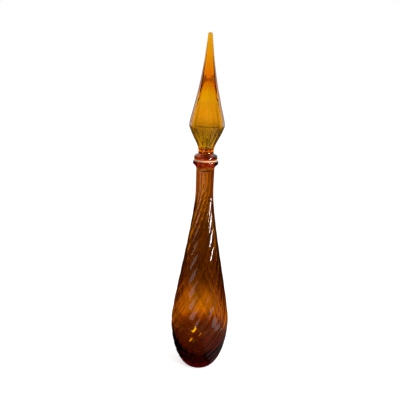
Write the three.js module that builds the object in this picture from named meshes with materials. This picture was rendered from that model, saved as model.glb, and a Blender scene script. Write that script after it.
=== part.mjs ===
// Blown glass carafe: a swirl-ribbed teardrop bottle, a ten-sided hollow glass stopper
// with a round knop, and the plastic seal that sits on the stopper's stem.
// Millimetres, +Z up, origin at the centre of the foot on the surface that it stands on.

import * as THREE from 'three'

// Bottle: foot and body
const footRadius = 19
const footRingWidth = 4.5
const footRise = 11.2
const footSpread = 22.3
const puntDepth = 4.5
const bellyRadius = 49.4
const bellyHeight = 84
const bellyPullDown = 28.5
const bellyPullUp = 34
const bottleHeight = 364.6

// Bottle: planes between the three solids that its one piece of glass is given as
const shoulderPlane = 150
const neckPlane = 220

// Bottle: glass thickness
const bodyWall = 3
const neckWall = 3.1
const baseThickness = 8.5
const floorSpread = 35

// Bottle: neck and flared lip
const boreRadius = 11.3
const neckLength = 47
const neckPullDown = 53
const neckFlare = 0.3
const lipReach = 5.8
const lipThickness = 5.4
const lipFlareLength = 7.4
const lipEdgeRounding = 1.5
const lipMouthRounding = 1

// Bottle: swirled optic ribs. A rate is the ribs' turn in degrees for each millimetre of height.
const ribCount = 16
const ribDepth = 0.7
const ribFadeAtFoot = 26
const ribFadeAtNeck = 43
const ribShareAtAxis = 0.35
const swirlRateAtNeck = 1
const swirlRateAtBelly = 0.69
const swirlRateAtFoot = 2.6
const swirlRateGrowth = 2.5
const swirlStartDepth = 29.6
const swirlSettleLength = 35
const swirlRiseAboveBelly = 36
const swirlPhase = 19

// Seal: flange on the lip and finned sleeve in the bore
const sealFlangeSetback = 1.9
const sealFlangeThickness = 2.2
const sealFlangeRounding = 0.7
const sealSleeveLength = 15
const sealSleeveWall = 1.3
const sealFinCount = 3
const sealFinThickness = 1.2
const sealFinReach = 1.15
const sealBoreClearance = 0.3
const stemClearance = 0.15

// Stopper: stem, knop and waist
const stemOverhang = 2.5
const stemWall = 3.7
const stemTipRounding = 1.2
const knopRadius = 18.9
const knopHeight = 10.5
const knopSeatRadius = 17.3
const knopEdgeRise = 3.4
const knopShoulderPull = 5.2
const knopWaistPull = 2.6
const waistRadius = 12.3
const waistLength = 3

// Stopper: ten-sided finial
const facetCount = 10
const girdleRadius = 28.4
const girdleRise = 39.9
const waistPullUp = 13
const girdlePullIn = 7.8
const girdlePullDown = 23
const finialHeight = 139.8
const finialTipRadius = 3.8
const spirePullUp = 19
const spirePullIn = 1.8
const spireTipPullOut = 7.6
const spireTipPullDown = 84
const facetFadeLength = 18

// Stopper: the hollow inside the finial
const finialWall = 4.6
const spireSolidLength = 70
const hollowFloorRise = 4
const blowHoleTaper = 3

// Number of steps that the faceted surfaces are drawn with
const stepsPerRib = 4
const stepsPerFacet = 4
const sealSteps = 32

// Radii that follow from the bore outwards and inwards
const neckRadius = boreRadius + neckWall
const neckTopRadius = neckRadius + neckFlare
const lipRadius = neckTopRadius + lipReach
const sealFinRadius = boreRadius - sealBoreClearance
const sealSleeveRadius = sealFinRadius - sealFinReach
const sealBoreRadius = sealSleeveRadius - sealSleeveWall
const sealFlangeRadius = lipRadius - sealFlangeSetback
const stemRadius = sealBoreRadius - stemClearance
const blowHoleRadius = stemRadius - stemWall

// Levels of the stack, from the surface up
const floorHeight = puntDepth + baseThickness
const neckHeight = bottleHeight - neckLength
const lipUnderside = bottleHeight - lipThickness
const sealBottom = bottleHeight - sealSleeveLength
const stemBottom = sealBottom - stemOverhang
const flangeTop = bottleHeight + sealFlangeThickness
const waistBottom = flangeTop + knopHeight
const waistTop = waistBottom + waistLength
const girdleHeight = waistTop + girdleRise
const overallHeight = girdleHeight + finialHeight
const swirlStart = bottleHeight - swirlStartDepth
const swirlSettled = swirlStart - swirlSettleLength
const swirlBellyTop = bellyHeight + swirlRiseAboveBelly

const fullTurn = Math.PI * 2

// A place on an outline: its distance from the axis and its height
function at(radius, height) {
  return new THREE.Vector2(radius, height)
}

// Points along a cubic curve whose ends leave towards their pulls
function curvePoints(from, fromPull, toPull, to, steps) {
  const curve = new THREE.CubicBezierCurve(from, fromPull, toPull, to)
  return curve.getPoints(steps)
}

// Points along a quarter of an ellipse that leaves `from` along the axis named by `leaves`
function quarterRound(from, to, steps, leaves) {
  const points = []
  for (let step = 0; step <= steps; step++) {
    const turn = (step / steps) * Math.PI / 2
    const early = Math.sin(turn)
    const late = 1 - Math.cos(turn)
    const across = leaves === 'outward' ? early : late
    const along = leaves === 'outward' ? late : early
    points.push(at(from.x + (to.x - from.x) * across, from.y + (to.y - from.y) * along))
  }
  return points
}

// Joins stretches of outline end to end and drops the points that repeat
function joinOutline(...stretches) {
  const outline = []
  for (const point of stretches.flat()) {
    const last = outline[outline.length - 1]
    if (!last || last.distanceTo(point) > 0.01) {
      outline.push(point)
    }
  }
  return outline
}

// Radius of an outline at one height, between its two nearest points
function radiusAtHeight(outline, height) {
  for (let index = 1; index < outline.length; index++) {
    const low = outline[index - 1]
    const high = outline[index]
    if (height <= high.y) {
      const share = THREE.MathUtils.clamp((height - low.y) / (high.y - low.y), 0, 1)
      return THREE.MathUtils.lerp(low.x, high.x, share)
    }
  }
  return outline[outline.length - 1].x
}

// Stretch of a rising outline between two heights, with a point at each height inside it
function sliceOutline(outline, low, high) {
  const lowest = outline[0].y
  const highest = outline[outline.length - 1].y
  const slice = outline.filter((point) => point.y > low + 0.5 && point.y < high - 0.5)
  if (low > lowest) {
    slice.unshift(at(radiusAtHeight(outline, low), low))
  }
  if (high < highest) {
    slice.push(at(radiusAtHeight(outline, high), high))
  }
  return slice
}

// Turns an outline about the Z axis. `relief` gives each point's radius and extra turn.
function revolve(outline, steps, relief) {
  const geometry = new THREE.LatheGeometry(outline, steps)
  geometry.rotateX(Math.PI / 2)
  geometry.deleteAttribute('normal')
  geometry.deleteAttribute('uv')
  if (relief) {
    const position = geometry.getAttribute('position')
    for (let step = 0; step <= steps; step++) {
      const angle = ((step % steps) / steps) * fullTurn
      for (let index = 0; index < outline.length; index++) {
        const point = outline[index]
        const { radius, turn } = relief(point, angle)
        const place = step * outline.length + index
        const x = radius * Math.sin(angle + turn)
        const y = -radius * Math.cos(angle + turn)
        position.setXYZ(place, x, y, point.y)
      }
    }
  }
  geometry.computeVertexNormals()
  return geometry
}

function glass(name, color) {
  return new THREE.MeshStandardMaterial({ name, color, roughness: 0.05, metalness: 0 })
}

function plastic(name, color) {
  return new THREE.MeshStandardMaterial({ name, color, roughness: 0.55, metalness: 0 })
}

function makeMesh(name, geometry, material) {
  const mesh = new THREE.Mesh(geometry, material)
  mesh.name = name
  return mesh
}

// Swirl rate at one height: none in the lip, least at the belly, most at the foot
function swirlRate(height) {
  if (height >= swirlSettled) {
    const settled = (swirlStart - height) / swirlSettleLength
    return swirlRateAtNeck * THREE.MathUtils.smoothstep(settled, 0, 1)
  }
  if (height >= swirlBellyTop) {
    const share = (height - swirlBellyTop) / (swirlSettled - swirlBellyTop)
    return THREE.MathUtils.lerp(swirlRateAtBelly, swirlRateAtNeck, share)
  }
  const toFoot = (swirlBellyTop - height) / swirlBellyTop
  return THREE.MathUtils.lerp(swirlRateAtBelly, swirlRateAtFoot, toFoot ** swirlRateGrowth)
}

// Angle of the ribs at one height, summed downwards from the straight neck
function swirlTurn(height) {
  const slices = 60
  const slice = Math.max(swirlStart - height, 0) / slices
  let degrees = swirlPhase
  for (let index = 0; index < slices; index++) {
    degrees -= swirlRate(swirlStart - slice * (index + 0.5)) * slice
  }
  return THREE.MathUtils.degToRad(degrees)
}

// Depth of the valleys between ribs: full on the body, fading out at the foot and lip
function valleyDepth(height, radius) {
  const foot = THREE.MathUtils.smoothstep(height, 0, ribFadeAtFoot)
  const neck = THREE.MathUtils.smoothstep(bottleHeight - height, lipThickness, ribFadeAtNeck)
  const girth = THREE.MathUtils.lerp(ribShareAtAxis, 1, radius / bellyRadius)
  return ribDepth * foot * neck * girth
}

// Outside of the bottle, from the edge of the foot ring to the edge of the lip
function bottleSkin() {
  const foot = at(footRadius, 0)
  const belly = at(bellyRadius, bellyHeight)
  const neck = at(neckRadius, neckHeight)
  const neckTop = at(neckTopRadius, lipUnderside - lipFlareLength)
  const underLip = at(lipRadius - lipEdgeRounding / 2, lipUnderside)
  const lipEdge = at(lipRadius, lipUnderside + lipEdgeRounding)
  const bowl = curvePoints(
    foot,
    at(footRadius + footSpread, footRise),
    at(bellyRadius, bellyHeight - bellyPullDown),
    belly,
    10
  )
  const shoulder = curvePoints(
    belly,
    at(bellyRadius, bellyHeight + bellyPullUp),
    at(neckRadius, neckHeight - neckPullDown),
    neck,
    20
  )
  const straightNeck = curvePoints(
    neck,
    at(neckRadius, (neck.y * 2 + neckTop.y) / 3),
    at(neckTopRadius, (neck.y + neckTop.y * 2) / 3),
    neckTop,
    3
  )
  const flare = curvePoints(
    neckTop,
    at(neckTopRadius, neckTop.y + lipFlareLength / 3),
    at(underLip.x - lipReach / 2, underLip.y - lipFlareLength / 3),
    underLip,
    4
  )
  const edge = quarterRound(underLip, lipEdge, 2, 'outward')
  return joinOutline(bowl, shoulder, straightNeck, flare, edge)
}

// Inside of the bottle, from the middle of its floor to the mouth
function bottleBore(skin) {
  const innerBelly = at(bellyRadius - bodyWall, bellyHeight)
  const floor = curvePoints(
    at(0, floorHeight),
    at(floorSpread, floorHeight),
    at(innerBelly.x, bellyHeight - bellyPullDown),
    innerBelly,
    9
  )
  const stretches = [
    [bellyHeight, shoulderPlane, 3],
    [shoulderPlane, neckPlane, 6],
    [neckPlane, neckHeight, 6]
  ]
  const wall = []
  for (const [low, high, steps] of stretches) {
    for (let step = 1; step <= steps; step++) {
      const height = THREE.MathUtils.lerp(low, high, step / steps)
      const radius = radiusAtHeight(skin, height) - bodyWall
      wall.push(at(Math.max(radius, boreRadius), height))
    }
  }
  const mouth = quarterRound(
    at(boreRadius, bottleHeight - lipMouthRounding),
    at(boreRadius + lipMouthRounding, bottleHeight),
    2,
    'upward'
  )
  return joinOutline(floor, wall, mouth)
}

// Underside of the foot, from the middle of the punt to the inner edge of the flat ring
function puntOutline() {
  const ringInside = at(footRadius - footRingWidth, 0)
  return curvePoints(
    at(0, puntDepth),
    at(ringInside.x / 2, puntDepth),
    at(ringInside.x * 0.8, puntDepth / 8),
    ringInside,
    4
  )
}

// Ribs on the points of `ribbed`; the smooth inside turns as `insideTurn` says
function ribRelief(ribbed, insideTurn) {
  const places = new Set(ribbed)
  return (point, angle) => {
    if (!places.has(point)) {
      return { radius: point.x, turn: insideTurn(point.y) }
    }
    const rib = Math.abs(Math.sin(angle * ribCount / 2))
    const depth = Math.min(valleyDepth(point.y, point.x), point.x)
    return { radius: point.x - depth * (1 - rib), turn: swirlTurn(point.y) }
  }
}

function makeGlassPart(name, outline, relief) {
  const geometry = revolve(outline, ribCount * stepsPerRib, relief)
  return makeMesh(name, geometry, glass('amber_glass', '#9a5208'))
}

// Foot and belly of the bottle
function makeBottleBody(skin, bore) {
  const outside = joinOutline(puntOutline(), sliceOutline(skin, -Infinity, shoulderPlane))
  const inside = sliceOutline(bore, -Infinity, shoulderPlane).reverse()
  const relief = ribRelief(outside, () => swirlTurn(shoulderPlane))
  return makeGlassPart('bottle_body', joinOutline(outside, inside), relief)
}

// Shoulder of the bottle
function makeBottleShoulder(skin, bore) {
  const outside = sliceOutline(skin, shoulderPlane, neckPlane)
  const inside = sliceOutline(bore, shoulderPlane, neckPlane).reverse()
  const outline = joinOutline(outside, inside, [outside[0]])
  return makeGlassPart('bottle_shoulder', outline, ribRelief(outside, swirlTurn))
}

// Neck and lip of the bottle
function makeBottleNeck(skin, bore) {
  const topEdge = quarterRound(
    at(lipRadius, bottleHeight - lipEdgeRounding),
    at(lipRadius - lipEdgeRounding, bottleHeight),
    2,
    'upward'
  )
  const outside = sliceOutline(skin, neckPlane, Infinity)
  const inside = sliceOutline(bore, neckPlane, Infinity).reverse()
  const outline = joinOutline(outside, topEdge, inside, [outside[0]])
  return makeGlassPart('bottle_neck', outline, ribRelief(outside, swirlTurn))
}

// Thin rings on the sleeve that grip the bore, each with its longer slope below
function sealFins() {
  const pitch = sealSleeveLength / (sealFinCount + 0.5)
  const fins = []
  for (let fin = 0; fin < sealFinCount; fin++) {
    const middle = sealBottom + pitch * (fin + 0.75)
    fins.push(at(sealSleeveRadius, middle - sealFinThickness))
    fins.push(at(sealFinRadius, middle - sealFinThickness / 4))
    fins.push(at(sealFinRadius, middle + sealFinThickness / 4))
    fins.push(at(sealSleeveRadius, middle + sealFinThickness / 2))
  }
  return fins
}

function makeSeal() {
  const lowerEdge = quarterRound(
    at(sealFlangeRadius - sealFlangeRounding, bottleHeight),
    at(sealFlangeRadius, bottleHeight + sealFlangeRounding),
    2,
    'outward'
  )
  const upperEdge = quarterRound(
    at(sealFlangeRadius, flangeTop - sealFlangeRounding),
    at(sealFlangeRadius - sealFlangeRounding, flangeTop),
    2,
    'upward'
  )
  const start = at(sealBoreRadius, sealBottom)
  const outline = joinOutline(
    [start, at(sealSleeveRadius, sealBottom)],
    sealFins(),
    [at(sealSleeveRadius, bottleHeight)],
    lowerEdge,
    upperEdge,
    [at(sealBoreRadius, flangeTop), start]
  )
  return makeMesh('seal', revolve(outline, sealSteps), plastic('seal_plastic', '#c9a87c'))
}

// Radius of a round section cut into flat facets, as a share of the radius at its edges
function facetShare(angle) {
  const facetAngle = fullTurn / facetCount
  const fromMiddle = (angle + facetAngle / 2) % facetAngle - facetAngle / 2
  return Math.cos(facetAngle / 2) / Math.cos(fromMiddle)
}

// How sharp the facets are: round at the waist, crisp on the finial, soft at its tip
function facetSharpness(height) {
  const above = THREE.MathUtils.smoothstep(height, waistTop, waistTop + facetFadeLength)
  const below = THREE.MathUtils.smoothstep(overallHeight - height, 0, facetFadeLength)
  return above * below
}

// Stem and knop, from the blow hole at the bottom of the stem to the waist
function stemAndKnop() {
  const stemTip = quarterRound(
    at(stemRadius - stemTipRounding, stemBottom),
    at(stemRadius, stemBottom + stemTipRounding),
    2,
    'outward'
  )
  const knopEdge = at(knopRadius, flangeTop + knopEdgeRise)
  const knopLower = quarterRound(at(knopSeatRadius, flangeTop), knopEdge, 3, 'outward')
  const knopUpper = curvePoints(
    knopEdge,
    at(knopRadius, knopEdge.y + knopShoulderPull),
    at(waistRadius, waistBottom - knopWaistPull),
    at(waistRadius, waistBottom),
    6
  )
  return joinOutline(
    [at(blowHoleRadius, stemBottom)],
    stemTip,
    [at(stemRadius, flangeTop)],
    knopLower,
    knopUpper
  )
}

// Finial, from the waist over the girdle to the rounded tip
function finialSkin() {
  const waist = at(waistRadius, waistBottom + waistLength / 2)
  const girdle = at(girdleRadius, girdleHeight)
  const tip = at(0, overallHeight)
  const tipStart = at(finialTipRadius, overallHeight - finialTipRadius)
  const cup = curvePoints(
    waist,
    at(waistRadius, waist.y + waistPullUp),
    at(girdleRadius - girdlePullIn, girdleHeight - girdlePullDown),
    girdle,
    8
  )
  const spire = curvePoints(
    girdle,
    at(girdleRadius - spirePullIn, girdleHeight + spirePullUp),
    at(finialTipRadius + spireTipPullOut, tipStart.y - spireTipPullDown),
    tipStart,
    14
  )
  return joinOutline(cup, spire, quarterRound(tipStart, tip, 3, 'upward'))
}

// Hollow of the finial with the blow hole below it, from its pointed top down
function finialHollow(skin) {
  const hollowTop = overallHeight - spireSolidLength
  const hollowFloor = waistTop + hollowFloorRise
  const hollowSteps = 10
  const pointedSteps = 3
  const hollow = [at(0, hollowTop)]
  for (let step = 1; step <= hollowSteps; step++) {
    const height = THREE.MathUtils.lerp(hollowTop, hollowFloor, step / hollowSteps)
    const swell = Math.sqrt(Math.min(step / pointedSteps, 1))
    const radius = (radiusAtHeight(skin, height) - finialWall) * swell
    hollow.push(at(Math.max(radius, blowHoleRadius), height))
  }
  hollow.push(at(blowHoleRadius, hollowFloor - blowHoleTaper))
  hollow.push(at(blowHoleRadius, stemBottom))
  return hollow
}

function makeStopper() {
  const skin = finialSkin()
  const outside = joinOutline(stemAndKnop(), skin)
  const outline = joinOutline(outside, finialHollow(skin))
  const places = new Set(outside)
  const relief = (point, angle) => {
    if (!places.has(point) || point.y < waistTop) {
      return { radius: point.x, turn: 0 }
    }
    const cut = 1 - (1 - facetShare(angle)) * facetSharpness(point.y)
    return { radius: point.x * cut, turn: 0 }
  }
  const geometry = revolve(outline, facetCount * stepsPerFacet, relief)
  return makeMesh('stopper', geometry, glass('honey_glass', '#d98a10'))
}

const bottleOutside = bottleSkin()
const bottleInside = bottleBore(bottleOutside)

const carafe = new THREE.Group()
carafe.name = 'carafe'
carafe.add(makeBottleBody(bottleOutside, bottleInside))
carafe.add(makeBottleShoulder(bottleOutside, bottleInside))
carafe.add(makeBottleNeck(bottleOutside, bottleInside))
carafe.add(makeSeal())
carafe.add(makeStopper())

export default carafe
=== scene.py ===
"""Looks of the stoppered glass carafe: amber swirl bottle, plastic seal and honey spire stopper."""

from __future__ import annotations

import logging
import math
from collections.abc import Callable
from dataclasses import dataclass, field
from enum import Enum

import bpy
from mathutils import Euler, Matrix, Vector


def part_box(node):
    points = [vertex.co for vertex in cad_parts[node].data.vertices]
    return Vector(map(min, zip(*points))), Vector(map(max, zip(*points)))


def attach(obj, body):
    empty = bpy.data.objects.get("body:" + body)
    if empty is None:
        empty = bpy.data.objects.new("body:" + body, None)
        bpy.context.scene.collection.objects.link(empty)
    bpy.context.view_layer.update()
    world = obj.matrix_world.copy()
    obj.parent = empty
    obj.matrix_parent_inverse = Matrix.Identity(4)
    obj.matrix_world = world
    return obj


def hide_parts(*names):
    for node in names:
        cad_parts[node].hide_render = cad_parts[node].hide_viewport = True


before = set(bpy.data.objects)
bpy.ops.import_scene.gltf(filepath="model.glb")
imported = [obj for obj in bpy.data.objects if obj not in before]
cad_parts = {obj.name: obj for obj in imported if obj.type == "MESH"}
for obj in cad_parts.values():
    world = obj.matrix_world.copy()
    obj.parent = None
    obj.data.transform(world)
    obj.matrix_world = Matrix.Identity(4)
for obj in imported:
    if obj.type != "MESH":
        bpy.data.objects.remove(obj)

LOG = logging.getLogger("carafe")
SAME_POINT = 1e-6
ON_AXIS = 1e-7
WHITE = (1.0, 1.0, 1.0)
# Places of the colour sockets of a Mix node
MIX_FIRST, MIX_SECOND, MIX_RESULT = 6, 7, 2

Point = tuple[float, float]
Corner = tuple[float, float, float]
Colour = tuple[float, float, float]
Relief = Callable[[int, Point, float], tuple[float, float]]


class Leaves(Enum):
    """The way in which a quarter round leaves its first point."""

    OUTWARD = "outward"
    UPWARD = "upward"


class RayKind(Enum):
    """Light Path outputs that see the plain white surroundings."""

    CAMERA = "Is Camera Ray"
    GLOSSY = "Is Glossy Ray"
    TRANSMISSION = "Is Transmission Ray"


class Sight(Enum):
    """Kinds of ray that a studio piece can be hidden from."""

    CAMERA = "visible_camera"
    DIFFUSE = "visible_diffuse"
    GLOSSY = "visible_glossy"
    TRANSMISSION = "visible_transmission"
    SHADOW = "visible_shadow"
    VOLUME = "visible_volume_scatter"


ONLY_REFLECTED = (Sight.CAMERA, Sight.DIFFUSE, Sight.TRANSMISSION, Sight.SHADOW)
ONLY_THROUGH_GLASS = (Sight.CAMERA, Sight.DIFFUSE, Sight.GLOSSY, Sight.SHADOW)


def mix(low: float, high: float, share: float) -> float:
    """Value at a share of the way from low to high."""
    return low + (high - low) * share


def around(angle: float, radius: float) -> Point:
    """X and Y at an angle in radians from the front, to the right, and at a radius."""
    return radius * math.sin(angle), -radius * math.cos(angle)


def smoothstep(value: float, low: float, high: float) -> float:
    """Smooth rise from 0 at low to 1 at high."""
    share = min(max((value - low) / (high - low), 0.0), 1.0)
    return share * share * (3.0 - 2.0 * share)


def curve_points(
    start: Point, start_pull: Point, end_pull: Point, end: Point, steps: int
) -> list[Point]:
    """Points along a cubic curve.

    Args:
        start: First point, as radius and height.
        start_pull: Point that the curve leaves towards.
        end_pull: Point that the curve arrives from.
        end: Last point.
        steps: Number of straight steps.

    Returns:
        The points from start to end.
    """
    points = []
    for step in range(steps + 1):
        share = step / steps
        rest = 1.0 - share
        weights = (rest**3, 3.0 * rest**2 * share, 3.0 * rest * share**2, share**3)
        corners = (start, start_pull, end_pull, end)
        radius = sum(weight * corner[0] for weight, corner in zip(weights, corners))
        height = sum(weight * corner[1] for weight, corner in zip(weights, corners))
        points.append((radius, height))
    return points


def quarter_round(start: Point, end: Point, steps: int, leaves: Leaves) -> list[Point]:
    """Points along a quarter of an ellipse.

    Args:
        start: First point, as radius and height.
        end: Last point.
        steps: Number of straight steps.
        leaves: Whether the curve leaves its first point outward or upward.

    Returns:
        The points from start to end.
    """
    points = []
    for step in range(steps + 1):
        turn = step / steps * math.pi / 2.0
        early = math.sin(turn)
        late = 1.0 - math.cos(turn)
        across, along = (early, late) if leaves is Leaves.OUTWARD else (late, early)
        points.append((mix(start[0], end[0], across), mix(start[1], end[1], along)))
    return points


def join_outline(*stretches: list[Point]) -> list[Point]:
    """Joins stretches of outline end to end, without the points that repeat.

    Args:
        stretches: The stretches, in order.

    Returns:
        One outline.
    """
    outline: list[Point] = []
    for stretch in stretches:
        for point in stretch:
            if not outline or math.dist(outline[-1], point) > SAME_POINT:
                outline.append(point)
    return outline


def radius_at(outline: list[Point], height: float) -> float:
    """Radius of a rising outline at one height, between its two nearest points.

    Args:
        outline: Points whose heights rise.
        height: The height.

    Returns:
        The radius there, and that of the last point above the outline.
    """
    for low, high in zip(outline, outline[1:]):
        if height <= high[1]:
            span = high[1] - low[1]
            share = (height - low[1]) / span if span > 0.0 else 1.0
            return mix(low[0], high[0], min(max(share, 0.0), 1.0))
    return outline[-1][0]


def revolve(
    name: str, outline: list[Point], steps: int, relief: Relief | None = None
) -> bpy.types.Object:
    """Turns an outline about the Z axis into one closed, smooth mesh.

    Args:
        name: Name of the new object.
        outline: Radius and height of each ring. It starts and ends on the axis or closes on itself.
        steps: Number of steps round the axis.
        relief: Gives the radius and the extra turn of a ring's point from the ring's place in the
            outline, its outline point and the angle. Without it the form is plain round.

    Returns:
        The new object, linked to the scene, at the origin.
    """
    closes = math.dist(outline[0], outline[-1]) < SAME_POINT
    points = outline[:-1] if closes else outline
    vertices: list[Vector] = []
    untwisted: list[float] = []
    light_and_shade_rings: list[list[int]] = []
    for index, point in enumerate(points):
        if point[0] < ON_AXIS:
            light_and_shade_rings.append([len(vertices)] * steps)
            vertices.append(Vector((0.0, 0.0, point[1])))
            untwisted.extend((0.0, 0.0, point[1]))
            continue
        ring = []
        for step in range(steps):
            angle = step / steps * math.tau
            radius, turn = relief(index, point, angle) if relief else (point[0], 0.0)
            ring.append(len(vertices))
            vertices.append(Vector((*around(angle + turn, radius), point[1])))
            untwisted.extend((*around(angle, radius), point[1]))
        light_and_shade_rings.append(ring)
    faces = []
    pairs = list(zip(light_and_shade_rings, light_and_shade_rings[1:]))
    if closes:
        pairs.append((light_and_shade_rings[-1], light_and_shade_rings[0]))
    for low, high in pairs:
        for step in range(steps):
            after = (step + 1) % steps
            corners = [low[step], low[after], high[after], high[step]]
            faces.append(list(dict.fromkeys(corners)))
    mesh = bpy.data.meshes.new(name)
    mesh.from_pydata(vertices, [], faces)
    mesh.shade_smooth()
    ribs = mesh.attributes.new("untwisted", "FLOAT_VECTOR", "POINT")
    ribs.data.foreach_set("vector", untwisted)
    mesh.update()
    piece = bpy.data.objects.new(name, mesh)
    bpy.context.scene.collection.objects.link(piece)
    return piece


class Desk:
    """A material's node tree, with short calls that add and join its nodes."""

    def __init__(self, name: str) -> None:
        """Starts a material with an empty node tree.

        Args:
            name: Name of the material.
        """
        self.material = bpy.data.materials.new(name)
        self.material.use_nodes = True
        self.tree = self.material.node_tree
        self.tree.nodes.clear()
        self.output = self.tree.nodes.new("ShaderNodeOutputMaterial")

    def node(
        self, kind: str, settings: dict[str, object] | None = None, **inputs: object
    ) -> bpy.types.Node:
        """Adds a node.

        Args:
            kind: The node's type, without its ShaderNode prefix.
            settings: Properties of the node itself.
            inputs: Values or output sockets for its inputs, by name with _ for a space.

        Returns:
            The new node.
        """
        node = self.tree.nodes.new("ShaderNode" + kind)
        for key, value in (settings or {}).items():
            setattr(node, key, value)
        for key, value in inputs.items():
            socket = node.inputs[key.replace("_", " ")]
            if isinstance(value, bpy.types.NodeSocket):
                self.tree.links.new(value, socket)
            else:
                socket.default_value = value
        return node

    def ramp(
        self, factor: bpy.types.NodeSocket, stops: list[tuple[float, Colour]]
    ) -> bpy.types.NodeSocket:
        """Adds a colour ramp.

        Args:
            factor: Output that the ramp reads.
            stops: Place and colour of each stop, in order.

        Returns:
            The ramp's colour output.
        """
        node = self.tree.nodes.new("ShaderNodeValToRGB")
        self.tree.links.new(factor, node.inputs["Fac"])
        elements = node.color_ramp.elements
        while len(elements) < len(stops):
            elements.new(1.0)
        for element, (place, colour) in zip(elements, stops):
            element.position = place
            element.color = (*colour, 1.0)
        return node.outputs["Color"]

    def join(self, output: bpy.types.NodeSocket, target: bpy.types.NodeSocket) -> None:
        """Links an output socket to an input socket."""
        self.tree.links.new(output, target)

    def surface(self, shader: bpy.types.Node) -> None:
        """Makes a shader the surface of the material."""
        self.join(shader.outputs[0], self.output.inputs["Surface"])

    def add_surfaces(self, first: bpy.types.Node, second: bpy.types.Node) -> None:
        """Makes the sum of two shaders the surface of the material.

        Args:
            first: One shader.
            second: The other shader.
        """
        both = self.node("AddShader")
        self.join(first.outputs[0], both.inputs[0])
        self.join(second.outputs[0], both.inputs[1])
        self.surface(both)

    def mix_surfaces(
        self, share: float | bpy.types.NodeSocket, first: bpy.types.Node, second: bpy.types.Node
    ) -> None:
        """Makes a mix of two shaders the surface of the material.

        Args:
            share: Share of the second shader, as a number or an output.
            first: Shader at a share of 0.
            second: Shader at a share of 1.
        """
        both = self.node("MixShader", Fac=share)
        self.join(first.outputs[0], both.inputs[1])
        self.join(second.outputs[0], both.inputs[2])
        self.surface(both)


def seen_white(tree: bpy.types.NodeTree) -> bpy.types.NodeSocket:
    """Adds the nodes that pick the rays that see the plain white surroundings.

    Args:
        tree: Node tree that gets the nodes.

    Returns:
        Output that is 1 for those rays and 0 for the others.
    """
    path = tree.nodes.new("ShaderNodeLightPath")
    total = path.outputs[RayKind.CAMERA.value]
    for kind in (RayKind.GLOSSY, RayKind.TRANSMISSION):
        step = tree.nodes.new("ShaderNodeMath")
        step.operation = "MAXIMUM"
        tree.links.new(total, step.inputs[0])
        tree.links.new(path.outputs[kind.value], step.inputs[1])
        total = step.outputs[0]
    return total


@dataclass(frozen=True)
class GlassFinish:
    """Clear coloured glass, fire polished, with striae along the ribs and the waves of old glass.

    The colour comes from the depth of glass that the light crosses. The tint by height lists the
    colour that each height lets through on top of that, with the streaks. It is partly the uneven
    melt of the batch and partly painted shade and painted light that stand in for how the light
    falls.
    """

    name: str
    absorbed: Colour
    depth: float
    height: float
    tint_and_painted_light: tuple[tuple[float, Colour], ...]
    stria_scale: float = 90.0
    stria_length: float = 0.06
    stria_detail: float = 3.0
    stria_roughness: float = 0.55
    stria_bump: float = 0.03
    stria_shade: float = 0.86
    stria_band: tuple[float, float] = (0.4, 0.6)
    wave_scale: float = 28.0
    wave_detail: float = 2.0
    wave_roughness: float = 0.5
    wave_bump: float = 0.1
    bump_depth: float = 0.001
    roughness: float = 0.015
    roughness_swing: float = 0.6
    refraction: float = 1.5

    def make(self) -> bpy.types.Material:
        """Builds the material.

        Returns:
            The material, with its nodes.
        """
        desk = Desk(self.name)
        along_ribs = desk.node("Attribute", {"attribute_name": "untwisted"}).outputs["Vector"]
        stretched = desk.node("Mapping", Vector=along_ribs, Scale=(1.0, 1.0, self.stria_length))
        striae = desk.node(
            "TexNoise",
            Vector=stretched.outputs["Vector"],
            Scale=self.stria_scale,
            Detail=self.stria_detail,
            Roughness=self.stria_roughness,
        )
        place = desk.node("TexCoord").outputs["Object"]
        waves = desk.node(
            "TexNoise",
            Vector=place,
            Scale=self.wave_scale,
            Detail=self.wave_detail,
            Roughness=self.wave_roughness,
        )
        heights = desk.node("SeparateXYZ", Vector=place)
        level = desk.node("MapRange", Value=heights.outputs["Z"], From_Max=self.height)
        # Tint by height: the glass's own colour with painted shade and painted light in it.
        stops = [(height / self.height, colour) for height, colour in self.tint_and_painted_light]
        glass_tint_and_painted_light = desk.ramp(level.outputs["Result"], stops)
        thick = (self.stria_shade, self.stria_shade, self.stria_shade)
        streaks = desk.ramp(
            striae.outputs["Fac"], [(self.stria_band[0], thick), (self.stria_band[1], WHITE)]
        )
        tinted = desk.node("Mix", {"data_type": "RGBA", "blend_type": "MULTIPLY"})
        tinted.inputs["Factor"].default_value = 1.0
        desk.join(glass_tint_and_painted_light, tinted.inputs[MIX_FIRST])
        desk.join(streaks, tinted.inputs[MIX_SECOND])
        cloud = desk.node(
            "MapRange",
            Value=waves.outputs["Fac"],
            To_Min=self.roughness * (1.0 - self.roughness_swing),
            To_Max=self.roughness * (1.0 + self.roughness_swing),
        )
        wave_bump = desk.node(
            "Bump", Height=waves.outputs["Fac"], Strength=self.wave_bump, Distance=self.bump_depth
        )
        stria_bump = desk.node(
            "Bump",
            Height=striae.outputs["Fac"],
            Strength=self.stria_bump,
            Distance=self.bump_depth,
            Normal=wave_bump.outputs["Normal"],
        )
        surface = desk.node(
            "BsdfPrincipled",
            Base_Color=tinted.outputs[MIX_RESULT],
            Roughness=cloud.outputs["Result"],
            IOR=self.refraction,
            Transmission_Weight=1.0,
            Normal=stria_bump.outputs["Normal"],
        )
        volume = desk.node("VolumeAbsorption", Color=(*self.absorbed, 1.0), Density=self.depth)
        desk.surface(surface)
        desk.join(volume.outputs["Volume"], desk.output.inputs["Volume"])
        return desk.material


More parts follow.
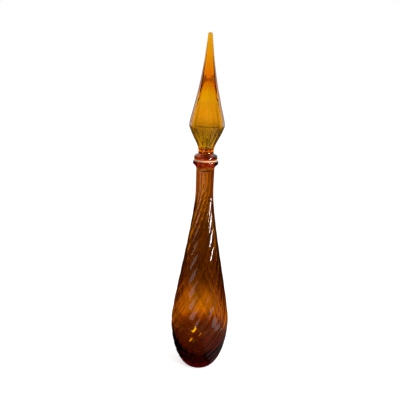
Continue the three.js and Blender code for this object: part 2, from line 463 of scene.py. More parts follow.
@dataclass(frozen=True)
class PlasticFinish:
    """Soft moulded plastic, slightly clouded and yellowed."""

    name: str
    fresh: Colour
    aged: Colour
    cloud_scale: float = 120.0
    cloud_detail: float = 4.0
    cloud_roughness: float = 0.6
    cloud_band: tuple[float, float] = (0.35, 0.65)
    grain_scale: float = 2600.0
    grain_detail: float = 2.0
    grain_bump: float = 0.15
    grain_depth: float = 0.0001
    roughness: tuple[float, float] = (0.34, 0.52)
    refraction: float = 1.5

    def make(self) -> bpy.types.Material:
        """Builds the material.

        Returns:
            The material, with its nodes.
        """
        desk = Desk(self.name)
        place = desk.node("TexCoord").outputs["Object"]
        cloud = desk.node(
            "TexNoise",
            Vector=place,
            Scale=self.cloud_scale,
            Detail=self.cloud_detail,
            Roughness=self.cloud_roughness,
        )
        grain = desk.node(
            "TexNoise", Vector=place, Scale=self.grain_scale, Detail=self.grain_detail
        )
        blotches = [(self.cloud_band[0], self.aged), (self.cloud_band[1], self.fresh)]
        colour = desk.ramp(cloud.outputs["Fac"], blotches)
        sheen = desk.node(
            "MapRange",
            Value=cloud.outputs["Fac"],
            To_Min=self.roughness[0],
            To_Max=self.roughness[1],
        )
        bump = desk.node(
            "Bump", Height=grain.outputs["Fac"], Strength=self.grain_bump, Distance=self.grain_depth
        )
        surface = desk.node(
            "BsdfPrincipled",
            Base_Color=colour,
            Roughness=sheen.outputs["Result"],
            IOR=self.refraction,
            Normal=bump.outputs["Normal"],
        )
        desk.surface(surface)
        return desk.material


@dataclass
class Swirl:
    """Optic ribs, straight down the neck and then round the body. Rates are degrees per metre."""

    start: float
    belly: float
    rib_count: int = 16
    phase: float = 18.4
    settle_length: float = 0.035
    rate_at_neck: float = 1000.0
    rate_at_belly: float = 690.0
    rate_at_foot: float = 2600.0
    growth: float = 2.5
    slices: int = 60

    def rate(self, height: float) -> float:
        """How fast the ribs turn at one height.

        Args:
            height: Height above the table, in metres.

        Returns:
            Degrees of turn for each metre of height.
        """
        settled = self.start - self.settle_length
        if height >= settled:
            return self.rate_at_neck * smoothstep(self.start - height, 0.0, self.settle_length)
        if height >= self.belly:
            share = (height - self.belly) / (settled - self.belly)
            return mix(self.rate_at_belly, self.rate_at_neck, share)
        to_foot = (self.belly - height) / self.belly
        return mix(self.rate_at_belly, self.rate_at_foot, to_foot**self.growth)

    def turn(self, height: float) -> float:
        """Angle of the ribs at one height, summed downwards from the straight neck.

        Args:
            height: Height above the table, in metres.

        Returns:
            The angle in radians.
        """
        slice_height = max(self.start - height, 0.0) / self.slices
        degrees = self.phase
        for index in range(self.slices):
            degrees -= self.rate(self.start - slice_height * (index + 0.5)) * slice_height
        return math.radians(degrees)


@dataclass
class Bottle:
    """The blown bottle: punt, base, swirled body, long neck and flared lip. Sizes in metres."""

    height: float = field(default_factory=lambda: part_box("bottle_neck")[1][2])
    belly_radius: float = field(default_factory=lambda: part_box("bottle_body")[1][0])
    foot_radius: float = 0.019
    foot_ring_width: float = 0.0045
    foot_rise: float = 0.0112
    foot_spread: float = 0.0223
    punt_depth: float = 0.0045
    belly_height: float = 0.084
    belly_pull_down: float = 0.0285
    belly_pull_up: float = 0.034
    wall: float = 0.003
    neck_wall: float = 0.0031
    base_thickness: float = 0.0085
    floor_spread: float = 0.035
    bore_radius: float = 0.0113
    neck_length: float = 0.047
    neck_pull_down: float = 0.053
    neck_flare: float = 0.0003
    lip_reach: float = 0.0058
    lip_thickness: float = 0.0054
    lip_flare_length: float = 0.0074
    lip_rounding: float = 0.0015
    mouth_rounding: float = 0.001
    rib_depth: float = 0.0008
    rib_fade_at_foot: float = 0.026
    rib_fade_at_neck: float = 0.022
    inner_rib_fade_from: float = 0.17
    inner_rib_fade_to: float = 0.27
    swirl_start_depth: float = 0.0296
    swirl_rise_above_belly: float = 0.036
    punt_flat_share: float = 0.5
    punt_edge_share: float = 0.8
    punt_edge_rise_share: float = 0.125
    steps_per_rib: int = 24
    punt_steps: int = 10
    bowl_steps: int = 50
    shoulder_steps: int = 110
    neck_steps: int = 16
    flare_steps: int = 10
    rounding_steps: int = 5
    floor_steps: int = 40
    wall_steps: int = 70
    mouth_steps: int = 4
    finish: GlassFinish = GlassFinish(
        name="amber_glass",
        absorbed=(0.9652, 0.777, 0.0),
        depth=800.0,
        height=0.3646,
        # Tint by height: the amber of the glass in the body, painted shade darkening the foot and
        # painted light at the lip.
        tint_and_painted_light=(
            (0.0, (0.26, 0.9, 0.3)),
            (0.012, (0.5, 0.9, 0.3)),
            (0.03, (0.7, 0.6, 0.3)),
            (0.05, (0.88, 0.664, 0.3)),
            (0.346, (0.88, 0.664, 0.3)),
            (0.352, (1.0, 1.0, 0.6)),
        ),
        stria_shade=0.66,
    )

    def __post_init__(self) -> None:
        """Works out the swirl and the radii that follow from the bore."""
        self.swirl = Swirl(
            start=self.height - self.swirl_start_depth,
            belly=self.belly_height + self.swirl_rise_above_belly,
        )
        self.neck_radius = self.bore_radius + self.neck_wall
        self.lip_radius = self.neck_radius + self.neck_flare + self.lip_reach

    def valley(self, height: float) -> float:
        """Depth of the valleys between the ribs at one height.

        Args:
            height: Height above the table, in metres.

        Returns:
            The depth in metres, which fades to nothing at foot and lip.
        """
        foot = smoothstep(height, 0.0, self.rib_fade_at_foot)
        neck = smoothstep(self.height - height, self.lip_thickness, self.rib_fade_at_neck)
        return self.rib_depth * foot * neck

    def skin(self) -> list[Point]:
        """Outside of the bottle, from the foot ring to the edge of the lip.

        Returns:
            Radius and height of its points, upwards.
        """
        foot = (self.foot_radius, 0.0)
        belly = (self.belly_radius, self.belly_height)
        neck = (self.neck_radius, self.height - self.neck_length)
        under = self.height - self.lip_thickness
        neck_top = (self.neck_radius + self.neck_flare, under - self.lip_flare_length)
        under_lip = (self.lip_radius - self.lip_rounding / 2.0, under)
        bowl = curve_points(
            foot,
            (self.foot_radius + self.foot_spread, self.foot_rise),
            (self.belly_radius, self.belly_height - self.belly_pull_down),
            belly,
            self.bowl_steps,
        )
        shoulder = curve_points(
            belly,
            (self.belly_radius, self.belly_height + self.belly_pull_up),
            (self.neck_radius, neck[1] - self.neck_pull_down),
            neck,
            self.shoulder_steps,
        )
        straight = curve_points(
            neck,
            (neck[0], mix(neck[1], neck_top[1], 1.0 / 3.0)),
            (neck_top[0], mix(neck[1], neck_top[1], 2.0 / 3.0)),
            neck_top,
            self.neck_steps,
        )
        flare = curve_points(
            neck_top,
            (neck_top[0], neck_top[1] + self.lip_flare_length / 3.0),
            (under_lip[0] - self.lip_reach / 2.0, under - self.lip_flare_length / 3.0),
            under_lip,
            self.flare_steps,
        )
        edge = quarter_round(
            under_lip,
            (self.lip_radius, under + self.lip_rounding),
            self.rounding_steps,
            Leaves.OUTWARD,
        )
        return join_outline(bowl, shoulder, straight, flare, edge)

    def bore(self, skin: list[Point]) -> list[Point]:
        """Inside of the bottle, from the middle of its floor to the mouth.

        Args:
            skin: Outside of the bottle, upwards.

        Returns:
            Radius and height of its points, upwards.
        """
        floor_height = self.punt_depth + self.base_thickness
        inner = (self.belly_radius - self.wall, self.belly_height)
        floor = curve_points(
            (0.0, floor_height),
            (self.floor_spread, floor_height),
            (inner[0], self.belly_height - self.belly_pull_down),
            inner,
            self.floor_steps,
        )
        wall = []
        for step in range(1, self.wall_steps + 1):
            height = mix(self.belly_height, self.height - self.neck_length, step / self.wall_steps)
            wall.append((max(radius_at(skin, height) - self.wall, self.bore_radius), height))
        mouth = quarter_round(
            (self.bore_radius, self.height - self.mouth_rounding),
            (self.bore_radius + self.mouth_rounding, self.height),
            self.mouth_steps,
            Leaves.UPWARD,
        )
        return join_outline(floor, wall, mouth)

    def build(self) -> bpy.types.Object:
        """Builds the bottle as one closed shell.

        Returns:
            The bottle, on its body.
        """
        ring_inside = self.foot_radius - self.foot_ring_width
        punt = curve_points(
            (0.0, self.punt_depth),
            (ring_inside * self.punt_flat_share, self.punt_depth),
            (ring_inside * self.punt_edge_share, self.punt_depth * self.punt_edge_rise_share),
            (ring_inside, 0.0),
            self.punt_steps,
        )
        skin = self.skin()
        floor_height = self.punt_depth + self.base_thickness
        top_edge = quarter_round(
            (self.lip_radius, self.height - self.lip_rounding),
            (self.lip_radius - self.lip_rounding, self.height),
            self.rounding_steps,
            Leaves.UPWARD,
        )
        outside = join_outline(punt, skin)
        outline = join_outline(outside, top_edge, self.bore(skin)[::-1])
        turns = [self.swirl.turn(point[1]) for point in outline]

        def relief(index: int, point: Point, angle: float) -> tuple[float, float]:
            """Shapes one point of a ring.

            Args:
                index: Place of the ring in the outline.
                point: Radius and height of the ring.
                angle: Angle of the point before any turn, in radians.

            Returns:
                Its radius, and its turn in radians.
            """
            rib = abs(math.sin(angle * self.swirl.rib_count / 2.0))
            depth = min(self.valley(point[1]), point[0])
            if index >= len(outside):
                rises = smoothstep(point[1], floor_height, self.belly_height)
                fades = smoothstep(point[1], self.inner_rib_fade_from, self.inner_rib_fade_to)
                depth *= rises * (1.0 - fades)
            return point[0] - depth * (1.0 - rib), turns[index]

        piece = revolve("amber_bottle", outline, self.swirl.rib_count * self.steps_per_rib, relief)
        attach(piece, "bottle")
        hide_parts("bottle_body")
        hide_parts("bottle_shoulder")
        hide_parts("bottle_neck")
        return piece

    def dress(self, piece: bpy.types.Object) -> None:
        """Gives the bottle its glass."""
        piece.data.materials.append(self.finish.make())


@dataclass
class Seal:
    """The moulded seal: a flange on the lip and a finned sleeve in the bore. Sizes in metres."""

    bottle: Bottle
    bottom: float = field(default_factory=lambda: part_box("seal")[0][2])
    top: float = field(default_factory=lambda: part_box("seal")[1][2])
    flange_radius: float = field(default_factory=lambda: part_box("seal")[1][0])
    flange_rounding: float = 0.0007
    sleeve_wall: float = 0.0013
    fin_count: int = 3
    fin_thickness: float = 0.0012
    fin_reach: float = 0.00115
    bore_clearance: float = 0.0003
    free_share_at_top: float = 0.5
    first_fin_share: float = 0.75
    steps: int = 96
    rounding_steps: int = 6
    finish: PlasticFinish = PlasticFinish(
        name="seal_plastic", fresh=(0.66, 0.46, 0.26), aged=(0.55, 0.36, 0.18)
    )

    def __post_init__(self) -> None:
        """Works out the radii that follow from the bottle's bore."""
        self.fin_radius = self.bottle.bore_radius - self.bore_clearance
        self.sleeve_radius = self.fin_radius - self.fin_reach
        self.bore_radius = self.sleeve_radius - self.sleeve_wall

    def fins(self) -> list[Point]:
        """Thin rings on the sleeve, each with its longer slope below.

        Returns:
            Radius and height of their points, upwards.
        """
        pitch = (self.bottle.height - self.bottom) / (self.fin_count + self.free_share_at_top)
        outline = []
        for fin in range(self.fin_count):
            middle = self.bottom + pitch * (fin + self.first_fin_share)
            outline.append((self.sleeve_radius, middle - self.fin_thickness))
            outline.append((self.fin_radius, middle - self.fin_thickness / 4.0))
            outline.append((self.fin_radius, middle + self.fin_thickness / 4.0))
            outline.append((self.sleeve_radius, middle + self.fin_thickness / 2.0))
        return outline

    def build(self) -> bpy.types.Object:
        """Builds the seal as one closed ring.

        Returns:
            The seal, on its body.
        """
        lip = self.bottle.height
        rounding = self.flange_rounding
        lower = quarter_round(
            (self.flange_radius - rounding, lip),
            (self.flange_radius, lip + rounding),
            self.rounding_steps,
            Leaves.OUTWARD,
        )
        upper = quarter_round(
            (self.flange_radius, self.top - rounding),
            (self.flange_radius - rounding, self.top),
            self.rounding_steps,
            Leaves.UPWARD,
        )
        start = (self.bore_radius, self.bottom)
        outline = join_outline(
            [start, (self.sleeve_radius, self.bottom)],
            self.fins(),
            [(self.sleeve_radius, lip)],
            lower,
            upper,
            [(self.bore_radius, self.top), start],
        )
        piece = revolve("seal_ring", outline, self.steps)
        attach(piece, "seal")
        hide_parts("seal")
        return piece

    def dress(self, piece: bpy.types.Object) -> None:
        """Gives the seal its plastic."""
        piece.data.materials.append(self.finish.make())


@dataclass
class Stopper:
    """The hollow blown stopper: stem, round knop, waist and ten-sided finial. Sizes in metres."""

    seal: Seal
    bottom: float = field(default_factory=lambda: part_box("stopper")[0][2])
    top: float = field(default_factory=lambda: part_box("stopper")[1][2])
    girdle_radius: float = field(default_factory=lambda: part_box("stopper")[1][0])
    stem_clearance: float = 0.00015
    stem_wall: float = 0.0037
    stem_rounding: float = 0.0012
    knop_radius: float = 0.0189
    knop_height: float = 0.0105
    knop_seat_radius: float = 0.0173
    knop_edge_rise: float = 0.0034
    knop_shoulder_pull: float = 0.0052
    knop_waist_pull: float = 0.0026
    waist_radius: float = 0.0123
    waist_length: float = 0.003
    facet_count: int = 10
    finial_height: float = 0.1398
    waist_pull_up: float = 0.013
    girdle_pull_in: float = 0.0078
    girdle_pull_down: float = 0.023
    tip_radius: float = 0.0038
    spire_pull_up: float = 0.019
    spire_pull_in: float = 0.0018
    tip_pull_out: float = 0.0076
    tip_pull_down: float = 0.084
    facet_fade: float = 0.018
    finial_wall: float = 0.0046
    spire_solid: float = 0.07
    hollow_floor_rise: float = 0.004
    blow_hole_taper: float = 0.003
    hollow_point_share: float = 0.3
    steps_per_facet: int = 16
    stem_tip_steps: int = 5
    knop_steps: int = 10
    knop_shoulder_steps: int = 20
    cup_steps: int = 120
    spire_steps: int = 200
    tip_steps: int = 10
    hollow_steps: int = 60
    finish: GlassFinish = GlassFinish(
        name="honey_glass",
        absorbed=(0.97, 0.82, 0.05),
        depth=400.0,
        height=0.56,
        # Tint by height: honey colour with painted light on the knop and waist, painted shade low
        # in the cup, and lighter painted bands on the spire.
        tint_and_painted_light=(
            (0.34, (1.0, 0.6, 0.3)),
            (0.379, (1.0, 0.8, 0.4)),
            (0.385, (1.0, 0.86, 0.2)),
            (0.395, (0.72, 0.6, 0.2)),
            (0.41, (0.52, 0.42, 0.2)),
            (0.43, (0.92, 0.7, 0.25)),
            (0.455, (0.94, 0.74, 0.25)),
            (0.472, (1.0, 0.98, 0.3)),
            (0.488, (0.96, 0.82, 0.2)),
            (0.56, (0.95, 0.7, 0.2)),
        ),
        stria_scale=70.0,
        wave_bump=0.08,
    )

    def __post_init__(self) -> None:
        """Works out the radii and levels that follow from the seal and the height."""
        self.stem_radius = self.seal.bore_radius - self.stem_clearance
        self.blow_hole_radius = self.stem_radius - self.stem_wall
        self.waist_bottom = self.seal.top + self.knop_height
        self.waist_top = self.waist_bottom + self.waist_length
        self.girdle_height = self.top - self.finial_height

    def stem_and_knop(self) -> list[Point]:
        """Outline from the blow hole at the bottom of the stem to the waist.

        Returns:
            Radius and height of its points, upwards.
        """
        tip = quarter_round(
            (self.stem_radius - self.stem_rounding, self.bottom),
            (self.stem_radius, self.bottom + self.stem_rounding),
            self.stem_tip_steps,
            Leaves.OUTWARD,
        )
        knop_edge = (self.knop_radius, self.seal.top + self.knop_edge_rise)
        lower = quarter_round(
            (self.knop_seat_radius, self.seal.top), knop_edge, self.knop_steps, Leaves.OUTWARD
        )
        upper = curve_points(
            knop_edge,
            (self.knop_radius, knop_edge[1] + self.knop_shoulder_pull),
            (self.waist_radius, self.waist_bottom - self.knop_waist_pull),
            (self.waist_radius, self.waist_bottom),
            self.knop_shoulder_steps,
        )
        return join_outline(
            [(self.blow_hole_radius, self.bottom)],
            tip,
            [(self.stem_radius, self.seal.top)],
            lower,
            upper,
        )

    def finial(self) -> list[Point]:
        """Outline from the waist over the girdle to the rounded tip.

        Returns:
            Radius and height of its points, upwards.
        """
        waist = (self.waist_radius, self.waist_bottom + self.waist_length / 2.0)
        girdle = (self.girdle_radius, self.girdle_height)
        tip_start = (self.tip_radius, self.top - self.tip_radius)
        cup = curve_points(
            waist,
            (self.waist_radius, waist[1] + self.waist_pull_up),
            (self.girdle_radius - self.girdle_pull_in, self.girdle_height - self.girdle_pull_down),
            girdle,
            self.cup_steps,
        )
        spire = curve_points(
            girdle,
            (self.girdle_radius - self.spire_pull_in, self.girdle_height + self.spire_pull_up),
            (self.tip_radius + self.tip_pull_out, tip_start[1] - self.tip_pull_down),
            tip_start,
            self.spire_steps,
        )
        tip = quarter_round(tip_start, (0.0, self.top), self.tip_steps, Leaves.UPWARD)
        return join_outline(cup, spire, tip)

    def hollow(self, skin: list[Point]) -> list[Point]:
        """Outline of the hollow, from its pointed top down through the blow hole.

        Args:
            skin: Outside of the finial, upwards.

        Returns:
            Radius and height of its points, downwards.
        """
        top = self.top - self.spire_solid
        floor = self.waist_top + self.hollow_floor_rise
        outline = [(0.0, top)]
        for step in range(1, self.hollow_steps + 1):
            share = step / self.hollow_steps
            height = mix(top, floor, share)
            swell = math.sqrt(min(share / self.hollow_point_share, 1.0))
            radius = (radius_at(skin, height) - self.finial_wall) * swell
            outline.append((max(radius, self.blow_hole_radius * swell), height))
        outline.append((self.blow_hole_radius, floor - self.blow_hole_taper))
        outline.append((self.blow_hole_radius, self.bottom))
        return outline

    def facet_share(self, angle: float) -> float:
        """How far out a flat facet lies at one angle.

        Args:
            angle: Angle round the axis, in radians.

        Returns:
            Its radius there, as a share of the radius at the facet's edges.
        """
        facet_angle = math.tau / self.facet_count
        from_middle = (angle + facet_angle / 2.0) % facet_angle - facet_angle / 2.0
        return math.cos(facet_angle / 2.0) / math.cos(from_middle)

    def sharpness(self, height: float) -> float:
        """How sharp the facets are at one height: round at the waist and soft at the tip.

        Args:
            height: Height above the table, in metres.

        Returns:
            From 0 for round to 1 for flat facets.
        """
        above = smoothstep(height, self.waist_top, self.waist_top + self.facet_fade)
        below = smoothstep(self.top - height, 0.0, self.facet_fade)
        return above * below

    def build(self) -> bpy.types.Object:
        """Builds the stopper as one closed shell.

        Returns:
            The stopper, on its body.
        """
        skin = self.finial()
        outside = join_outline(self.stem_and_knop(), skin)
        outline = join_outline(outside, self.hollow(skin), outside[:1])

        def relief(index: int, point: Point, angle: float) -> tuple[float, float]:
            """Shapes one point of a ring.

            Args:
                index: Place of the ring in the outline.
                point: Radius and height of the ring.
                angle: Angle of the point before any turn, in radians.

            Returns:
                Its radius, and its turn in radians.
            """
            if index >= len(outside) or point[1] < self.waist_top:
                return point[0], 0.0
            cut = (1.0 - self.facet_share(angle)) * self.sharpness(point[1])
            return point[0] * (1.0 - cut), 0.0

        piece = revolve("spire_stopper", outline, self.facet_count * self.steps_per_facet, relief)
        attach(piece, "stopper")
        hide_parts("stopper")
        return piece

    def dress(self, piece: bpy.types.Object) -> None:
        """Gives the stopper its glass, which lets light down to the seal."""
        piece.data.materials.append(self.finish.make())
        piece.visible_shadow = False


def hide(piece: bpy.types.Object, hidden_from: tuple[Sight, ...]) -> None:
    """Hides a piece of the studio from some kinds of ray."""
    for sight in hidden_from:
        setattr(piece, sight.value, False)


def lay_sheet(
    name: str,
    corners: list[Corner],
    material: bpy.types.Material,
    hidden_from: tuple[Sight, ...],
) -> None:
    """Adds a flat piece of the studio.

    Args:
        name: Name of the piece.
        corners: Its corners, in order round it.
        material: Its finish.
        hidden_from: The kinds of ray that don't see it.
    """
    mesh = bpy.data.meshes.new(name)
    mesh.from_pydata(corners, [], [tuple(range(len(corners)))])
    sheet = bpy.data.objects.new(name, mesh)
    bpy.context.scene.collection.objects.link(sheet)
    mesh.materials.append(material)
    hide(sheet, hidden_from)


@dataclass(frozen=True)
class FloorFinish:
    """Pale floor that looks white and still takes the object's shadow."""

    name: str = "pale_floor"
    colour: Colour = (0.8, 0.8, 0.8)
    lift: float = 0.55

    def make(self) -> bpy.types.Material:
        """Builds the material.

        Returns:
            The material, with its nodes.
        """
        desk = Desk(self.name)
        paint = desk.node("BsdfDiffuse", Color=(*self.colour, 1.0))
        lift = desk.node("Math", {"operation": "MULTIPLY"})
        desk.join(seen_white(desk.tree), lift.inputs[0])
        lift.inputs[1].default_value = self.lift
        desk.add_surfaces(paint, desk.node("Emission", Strength=lift.outputs[0]))
        return desk.material


@dataclass(frozen=True)
class FeltFinish:
    """Felt in rings of painted light and shade, by radius, and open to light from the higher glass.

    The rings are painted shade and painted light that the glass shows: a dark disc under the carafe
    for its shadow, a bright ring, a dark band and bright felt beyond. The further light has come
    beyond its distance from the axis, the higher it left the glass.
    `open_above` gives the surplus at which the felt starts to open and at which it is open, in
    metres.
    """

    name: str = "light_and_shade_felt"
    radius: float = 2.5
    # Painted light and shade by radius: dark under the carafe where its shadow falls, then bright
    # and dark rings.
    light_and_shade_rings: tuple[tuple[float, Colour], ...] = (
        (0.0, (0.24, 0.2, 0.1)),
        (0.08, (0.16, 0.11, 0.06)),
        (0.12, (0.12, 0.08, 0.06)),
        (0.147, (0.26, 0.18, 0.14)),
        (0.175, (0.5, 0.42, 0.4)),
        (0.19, (0.75, 0.75, 0.7)),
        (0.21, (0.8, 0.88, 0.8)),
        (0.26, (0.62, 0.68, 0.6)),
        (0.3, (0.4, 0.37, 0.3)),
        (0.36, (0.15, 0.11, 0.1)),
        (0.44, (0.08, 0.045, 0.03)),
        (0.85, (0.08, 0.045, 0.03)),
        (1.0, (0.56, 0.52, 0.5)),
        (1.2, (1.0, 1.0, 1.0)),
        (1.5, (0.7, 0.7, 0.7)),
        (2.3, (0.5, 0.5, 0.5)),
        (2.4, (1.0, 1.0, 1.0)),
    )
    open_above: tuple[float, float] = (0.08, 0.12)

    def make(self) -> bpy.types.Material:
        """Builds the material.

        Returns:
            The material, with its nodes.
        """
        desk = Desk(self.name)
        reach = desk.node("VectorMath", {"operation": "LENGTH"})
        desk.join(desk.node("TexCoord").outputs["Object"], reach.inputs[0])
        share = desk.node("MapRange", Value=reach.outputs["Value"], From_Max=self.radius)
        stops = [(radius / self.radius, colour) for radius, colour in self.light_and_shade_rings]
        painted_light_and_shade = desk.ramp(share.outputs["Result"], stops)
        surplus = desk.node("Math", {"operation": "SUBTRACT"})
        desk.join(desk.node("LightPath").outputs["Ray Length"], surplus.inputs[0])
        desk.join(reach.outputs["Value"], surplus.inputs[1])
        from_above = desk.node(
            "MapRange",
            Value=surplus.outputs[0],
            From_Min=self.open_above[0],
            From_Max=self.open_above[1],
        )
        cloth = desk.node("BsdfTransparent", Color=painted_light_and_shade)
        desk.mix_surfaces(from_above.outputs["Result"], cloth, desk.node("BsdfTransparent"))
        return desk.material


@dataclass(frozen=True)
class DrapeFinish:
    """Dark cloth that is open high at the back.

    `slant` weighs height against distance behind the carafe, and `edge` gives the sums at which
    the drape starts to open and at which it is open, in metres.
    """

    name: str = "dark_drape"
    colour: Colour = (0.012, 0.011, 0.01)
    slant: float = 1.2
    edge: tuple[float, float] = (3.0, 3.4)

    def make(self) -> bpy.types.Material:
        """Builds the material.

        Returns:
            The material, with its nodes.
        """
        desk = Desk(self.name)
        cloth = desk.node("BsdfDiffuse", Color=(*self.colour, 1.0))
        place = desk.node("SeparateXYZ", Vector=desk.node("TexCoord").outputs["Object"])
        behind = desk.node("Math", {"operation": "MULTIPLY_ADD"})
        desk.join(place.outputs["Z"], behind.inputs[0])
        behind.inputs[1].default_value = self.slant
        desk.join(place.outputs["Y"], behind.inputs[2])
        opening = desk.node(
            "MapRange", Value=behind.outputs[0], From_Min=self.edge[0], From_Max=self.edge[1]
        )
        desk.mix_surfaces(opening.outputs["Result"], cloth, desk.node("BsdfTransparent"))
        return desk.material


@dataclass(frozen=True)
class CardFinish:
    """Matt grey card, with an even glow of painted light of its own, though it is no lamp."""

    name: str
    shade: float
    glow: float = 0.0

    def make(self) -> bpy.types.Material:
        """Builds the material.

        Returns:
            The material, with its nodes.
        """
        desk = Desk(self.name)
        paint = desk.node("BsdfDiffuse", Color=(self.shade, self.shade, self.shade, 1.0))
        desk.add_surfaces(paint, desk.node("Emission", Strength=self.glow))
        return desk.material


@dataclass(frozen=True)
class ShadeVeilFinish:
    """Dark sheet of painted shade that lets a share of the light through."""

    name: str
    lets_through: float
    colour: Colour = (0.01, 0.009, 0.008)

    def make(self) -> bpy.types.Material:
        """Builds the material.

        Returns:
            The material, with its nodes.
        """
        desk = Desk(self.name)
        cloth = desk.node("BsdfDiffuse", Color=(*self.colour, 1.0))
        desk.mix_surfaces(self.lets_through, cloth, desk.node("BsdfTransparent"))
        return desk.material


@dataclass(frozen=True)
class GlowFinish:
    """Plain light of one colour."""

    name: str
    strength: float
    colour: Colour = (0.35, 1.0, 0.0)

    def make(self) -> bpy.types.Material:
        """Builds the material.

        Returns:
            The material, with its nodes.
        """
        desk = Desk(self.name)
        desk.surface(desk.node("Emission", Color=(*self.colour, 1.0), Strength=self.strength))
        return desk.material


@dataclass(frozen=True)
class TableCard:
    """A card on the table whose shade and glow paint the table's light and shade for reflections.
    Sizes in metres.
    """

    finish: CardFinish
    outline: tuple[Point, ...]
    height: float = 0.0002

    def lay(self) -> None:
        """Lays the card."""
        corners = [(x, y, self.height) for x, y in self.outline]
        lay_sheet(self.finish.name, corners, self.finish.make(), ONLY_REFLECTED)


@dataclass(frozen=True)
class Board:
    """A board that stands, faces the carafe and is only seen by reflections. Sizes in metres.

    The angle runs in degrees from the camera to the right.
    """

    finish: CardFinish
    angle: float
    distance: float = 1.6
    width: float = 1.1
    low: float = 0.4
    high: float = 1.2

    def put_up(self) -> None:
        """Puts up the board."""
        turn = math.radians(self.angle)
        middle = Vector(around(turn, self.distance))
        across = Vector((math.cos(turn), math.sin(turn))) * (self.width / 2.0)
        left, right = middle - across, middle + across
        corners = [
            (*left, self.low),
            (*right, self.low),
            (*right, self.high),
            (*left, self.high),
        ]
        lay_sheet(self.finish.name, corners, self.finish.make(), ONLY_REFLECTED)


@dataclass(frozen=True)
class Wedge:
    """A veil on the table, between two angles in degrees from straight behind to the right.

    Only the glass shows it. Its painted shade gives the neck its darker stripes. Sizes in metres.
    """

    finish: ShadeVeilFinish
    from_angle: float
    to_angle: float
    near: float = 0.8
    far: float = 2.2
    height: float = 0.0002

    def lay(self) -> None:
        """Lays the wedge."""
        left = math.pi - math.radians(self.from_angle)
        right = math.pi - math.radians(self.to_angle)
        ends = ((left, self.near), (left, self.far), (right, self.far), (right, self.near))
        corners = [(*around(turn, reach), self.height) for turn, reach in ends]
        lay_sheet(self.finish.name, corners, self.finish.make(), ONLY_THROUGH_GLASS)


@dataclass(frozen=True)
class Glint:
    """A bright patch on the table that only the glass shows. Sizes in metres."""

    finish: GlowFinish
    outline: tuple[Point, ...]
    height: float = 0.0004

    def lay(self) -> None:
        """Lays the patch."""
        corners = [(x, y, self.height) for x, y in self.outline]
        lay_sheet(self.finish.name, corners, self.finish.make(), ONLY_THROUGH_GLASS)


@dataclass(frozen=True)
class Lamp:
    """An upright area lamp that faces the carafe. Sizes in metres, power in watts.

    The angle runs in degrees from the camera to the right. Reflections show the lamp only where
    it is mirrored.
    """

    name: str
    angle: float
    distance: float
    width: float
    low: float
    high: float
    power: float
    mirrored: bool

    def hang(self) -> None:
        """Hangs the lamp."""
        data = bpy.data.lights.new(self.name, "AREA")
        data.shape = "RECTANGLE"
        data.size = self.width
        data.size_y = self.high - self.low
        data.energy = self.power
        lamp = bpy.data.objects.new(self.name, data)
        turn = math.radians(self.angle)
        lamp.location = (*around(turn, self.distance), (self.low + self.high) / 2.0)
        lamp.rotation_euler = Euler((math.pi / 2.0, 0.0, turn))
        hide(lamp, (Sight.CAMERA, Sight.TRANSMISSION))
        if not self.mirrored:
            hide(lamp, (Sight.GLOSSY,))
        bpy.context.scene.collection.objects.link(lamp)


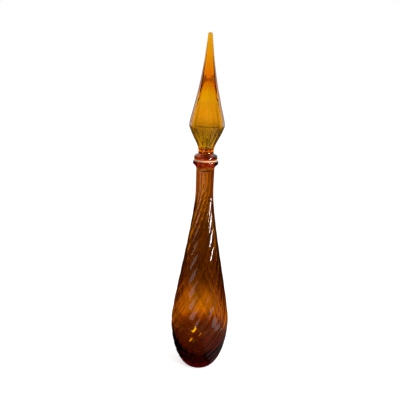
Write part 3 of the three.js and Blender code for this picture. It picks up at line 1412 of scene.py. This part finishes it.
@dataclass
class Studio:
    """Pale floor, white surroundings, what the glass mirrors, the lamps and the camera.

    Sizes in metres, angles in degrees.
    """

    camera_distance: float = 0.8
    camera_height: float = 0.516
    camera_side: float = -0.0068
    camera_tilt: float = 15.19
    camera_roll: float = 2.08
    camera_reach: tuple[float, float] = (0.01, 100.0)
    lens: float = 45.74
    sensor: float = 36.0
    floor_half: float = 6.0
    floor_height: float = -0.0002
    floor_finish: FloorFinish = FloorFinish()
    felt_height: float = -0.0001
    felt_steps: int = 64
    felt_finish: FeltFinish = FeltFinish()
    drape_radius: float = 4.0
    drape_steps: int = 24
    drape_finish: DrapeFinish = DrapeFinish()
    world_light: float = 0.7
    boards: tuple[Board, ...] = (
        Board(CardFinish("board_left", 0.8), angle=-142.0),
        Board(CardFinish("board_right", 0.8), angle=142.0),
    )
    # Painted light and painted shade that only reflections see: bright strips for patches of light
    # on the table, dark sheets for shaded table.
    cards: tuple[TableCard, ...] = (
        TableCard(
            CardFinish("left_strip", 0.8, glow=0.45),
            ((-0.15, -0.42), (-0.27, -1.5), (-1.5, -1.8), (-0.9, -0.6)),
        ),
        TableCard(
            CardFinish("near_sheet", 0.02),
            ((-0.4, 0.0), (-0.4, -0.38), (0.03, -0.38), (0.03, -0.04)),
        ),
        TableCard(
            CardFinish("right_sheet", 0.1),
            ((0.03, 0.1), (0.03, -0.4), (0.6, -0.4), (0.6, 0.1)),
        ),
        TableCard(
            CardFinish("far_sheet", 0.03),
            ((0.6, 0.1), (0.6, -0.4), (2.6, -1.0), (2.6, 0.8)),
        ),
        TableCard(
            CardFinish("right_strip", 0.9),
            ((0.22, -0.02), (0.19, -0.16), (0.42, -0.42), (0.42, -0.14)),
            height=0.0004,
        ),
    )
    # Painted shade seen only through the glass: the darker stripes on the neck.
    wedges: tuple[Wedge, ...] = (
        Wedge(ShadeVeilFinish("left_wedge", 0.55), -60.0, -30.0),
        Wedge(ShadeVeilFinish("middle_wedge", 0.35), -4.0, 5.0),
        Wedge(ShadeVeilFinish("right_wedge", 0.6), 5.0, 20.0),
        Wedge(ShadeVeilFinish("far_right_wedge", 0.45), 20.0, 60.0),
    )
    glints: tuple[Glint, ...] = (
        Glint(
            GlowFinish("upper_glint", 9.0),
            ((-0.018, 0.095), (-0.018, 0.101), (-0.006, 0.101), (-0.006, 0.095)),
        ),
        Glint(
            GlowFinish("lower_glint", 7.0),
            ((-0.02, 0.055), (-0.012, 0.064), (-0.009, 0.062), (-0.018, 0.052)),
        ),
    )
    lamps: tuple[Lamp, ...] = (
        Lamp(
            "window",
            angle=47.0,
            distance=0.9,
            width=0.42,
            low=0.287,
            high=0.487,
            power=9.0,
            mirrored=True,
        ),
        Lamp(
            "fill",
            angle=-52.0,
            distance=1.4,
            width=0.5,
            low=0.05,
            high=0.45,
            power=1.6,
            mirrored=False,
        ),
    )

    def make_floor(self) -> None:
        """Lays the pale floor, which keeps the object's shadow."""
        half = self.floor_half
        outline = ((-half, -half), (half, -half), (half, half), (-half, half))
        corners = [(x, y, self.floor_height) for x, y in outline]
        lay_sheet("floor", corners, self.floor_finish.make(), (Sight.GLOSSY,))

    def make_felt(self) -> None:
        """Lays the felt of painted light and shade that only shows through the glass, as a table
        top would.
        """
        turns = [step / self.felt_steps * math.tau for step in range(self.felt_steps)]
        corners = [(*around(turn, self.felt_finish.radius), self.felt_height) for turn in turns]
        lay_sheet("felt", corners, self.felt_finish.make(), ONLY_THROUGH_GLASS)

    def make_drape(self) -> None:
        """Hangs the dark drape that only reflections see, so that the glass keeps its depth."""
        outline = [
            around(step / self.drape_steps * math.pi, self.drape_radius)
            for step in range(1, self.drape_steps)
        ]
        outline = [(0.0, -self.drape_radius), *outline, (0.0, self.drape_radius)]
        drape = revolve("drape", outline, self.drape_steps)
        drape.data.materials.append(self.drape_finish.make())
        hide(drape, (*ONLY_REFLECTED, Sight.VOLUME))

    def make_world(self) -> None:
        """Makes the surroundings: white where they are seen, softer where they light."""
        world = bpy.data.worlds.new("studio")
        world.use_nodes = True
        bpy.context.scene.world = world
        tree = world.node_tree
        back = tree.nodes["Background"]
        back.inputs["Color"].default_value = (*WHITE, 1.0)
        level = tree.nodes.new("ShaderNodeMapRange")
        level.inputs["To Min"].default_value = self.world_light
        level.inputs["To Max"].default_value = 1.0
        tree.links.new(seen_white(tree), level.inputs["Value"])
        tree.links.new(level.outputs["Result"], back.inputs["Strength"])

    def make_camera(self) -> None:
        """Sets the camera where the photograph was taken from."""
        data = bpy.data.cameras.new("camera")
        data.sensor_width = self.sensor
        data.lens = self.lens
        data.clip_start, data.clip_end = self.camera_reach
        camera = bpy.data.objects.new("camera", data)
        bpy.context.scene.collection.objects.link(camera)
        camera.location = (self.camera_side, -self.camera_distance, self.camera_height)
        tilt = Euler((math.radians(90.0 - self.camera_tilt), 0.0, 0.0)).to_matrix()
        roll = Euler((0.0, 0.0, math.radians(self.camera_roll))).to_matrix()
        camera.rotation_euler = (tilt @ roll).to_euler()
        bpy.context.scene.camera = camera

    def build(self) -> None:
        """Sets up the whole studio."""
        self.make_floor()
        self.make_felt()
        self.make_drape()
        for board in self.boards:
            board.put_up()
        for flat in (*self.cards, *self.wedges, *self.glints):
            flat.lay()
        self.make_world()
        for lamp in self.lamps:
            lamp.hang()
        self.make_camera()
        bpy.context.scene.view_settings.view_transform = "Standard"


def main() -> None:
    """Builds the carafe piece by piece, then the studio."""
    logging.basicConfig(level=logging.INFO, format="%(name)s: %(message)s")
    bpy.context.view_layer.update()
    bottle = Bottle()
    seal = Seal(bottle)
    stopper = Stopper(seal)
    for part in (bottle, seal, stopper):
        piece = part.build()
        part.dress(piece)
        LOG.info("%s: %d faces", piece.name, len(piece.data.polygons))
    Studio().build()


if __name__ == "__main__":
    main()
